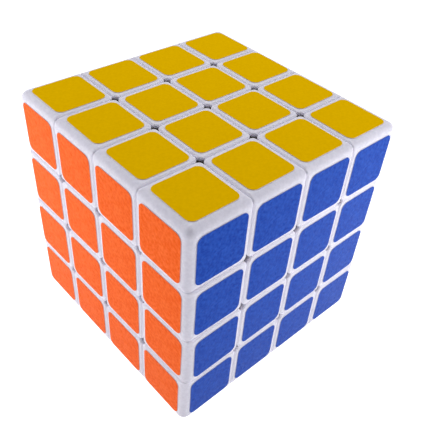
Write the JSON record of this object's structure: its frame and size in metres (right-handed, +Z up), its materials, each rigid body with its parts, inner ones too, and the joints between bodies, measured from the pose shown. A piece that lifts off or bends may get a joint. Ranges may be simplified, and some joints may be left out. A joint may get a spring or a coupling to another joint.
{
  "type": "twisty puzzle cube",
  "caption": "Layered twisty puzzle cube with a white body, coloured rounded-square stickers and a grooved ball core, turned layer by layer about its centre.",
  "frame": {"origin": "centre of the cube, where all turning axes meet", "axes": "+Z up through the yellow face, -Y through the orange front face, +X through the blue right face"},
  "size_m": [0.062, 0.062, 0.062],
  "materials": {
    "white_plastic": "satin moulded",
    "mechanism_plastic": "satin moulded",
    "screw_steel": "zinc plated",
    "sticker_yellow": "matte vinyl",
    "sticker_black": "matte vinyl",
    "sticker_orange": "matte vinyl",
    "sticker_blue": "matte vinyl",
    "sticker_red": "matte vinyl",
    "sticker_green": "matte vinyl"
  },
  "bodies": {
    "bottom_layer": {"corner_bottom_front_right": "white_plastic", "corner_bottom_back_right": "white_plastic", "corner_bottom_back_left": "white_plastic", "corner_bottom_front_left": "white_plastic", "edges_bottom_front": "white_plastic", "edges_bottom_right": "white_plastic", "edges_bottom_back": "white_plastic", "edges_bottom_left": "white_plastic", "centres_bottom": "white_plastic", "centre_feet_bottom": "mechanism_plastic", "stickers_orange_bottom": "sticker_orange", "stickers_blue_bottom": "sticker_blue", "stickers_red_bottom": "sticker_red", "stickers_green_bottom": "sticker_green", "stickers_black": "sticker_black"},
    "lower_inner_layer": {"core_ball": "mechanism_plastic", "pole_caps": "mechanism_plastic", "pole_screws": "screw_steel", "edge_lower_front_right": "white_plastic", "edge_lower_back_right": "white_plastic", "edge_lower_back_left": "white_plastic", "edge_lower_front_left": "white_plastic", "centres_lower_front": "white_plastic", "centres_lower_right": "white_plastic", "centres_lower_back": "white_plastic", "centres_lower_left": "white_plastic", "centre_feet_lower": "mechanism_plastic", "stickers_orange_lower": "sticker_orange", "stickers_blue_lower": "sticker_blue", "stickers_red_lower": "sticker_red", "stickers_green_lower": "sticker_green"},
    "upper_inner_layer": {"edge_upper_front_right": "white_plastic", "edge_upper_back_right": "white_plastic", "edge_upper_back_left": "white_plastic", "edge_upper_front_left": "white_plastic", "centres_upper_front": "white_plastic", "centres_upper_right": "white_plastic", "centres_upper_back": "white_plastic", "centres_upper_left": "white_plastic", "centre_feet_upper": "mechanism_plastic", "stickers_orange_upper": "sticker_orange", "stickers_blue_upper": "sticker_blue", "stickers_red_upper": "sticker_red", "stickers_green_upper": "sticker_green"},
    "top_layer": {"corner_top_front_right": "white_plastic", "corner_top_back_right": "white_plastic", "corner_top_back_left": "white_plastic", "corner_top_front_left": "white_plastic", "edges_top_front": "white_plastic", "edges_top_right": "white_plastic", "edges_top_back": "white_plastic", "edges_top_left": "white_plastic", "centres_top": "white_plastic", "centre_feet_top": "mechanism_plastic", "stickers_orange_top": "sticker_orange", "stickers_blue_top": "sticker_blue", "stickers_red_top": "sticker_red", "stickers_green_top": "sticker_green", "stickers_yellow": "sticker_yellow"}
  },
  "joints": [
    {"name": "top_layer_turn", "type": "hinge", "parent": "lower_inner_layer", "child": "top_layer", "pos_m": [0, 0, 0], "axis": [0, 0, 1], "continuous": true},
    {"name": "upper_inner_layer_turn", "type": "hinge", "parent": "lower_inner_layer", "child": "upper_inner_layer", "pos_m": [0, 0, 0], "axis": [0, 0, 1], "continuous": true},
    {"name": "bottom_layer_turn", "type": "hinge", "parent": "lower_inner_layer", "child": "bottom_layer", "pos_m": [0, 0, 0], "axis": [0, 0, 1], "continuous": true}
  ]
}
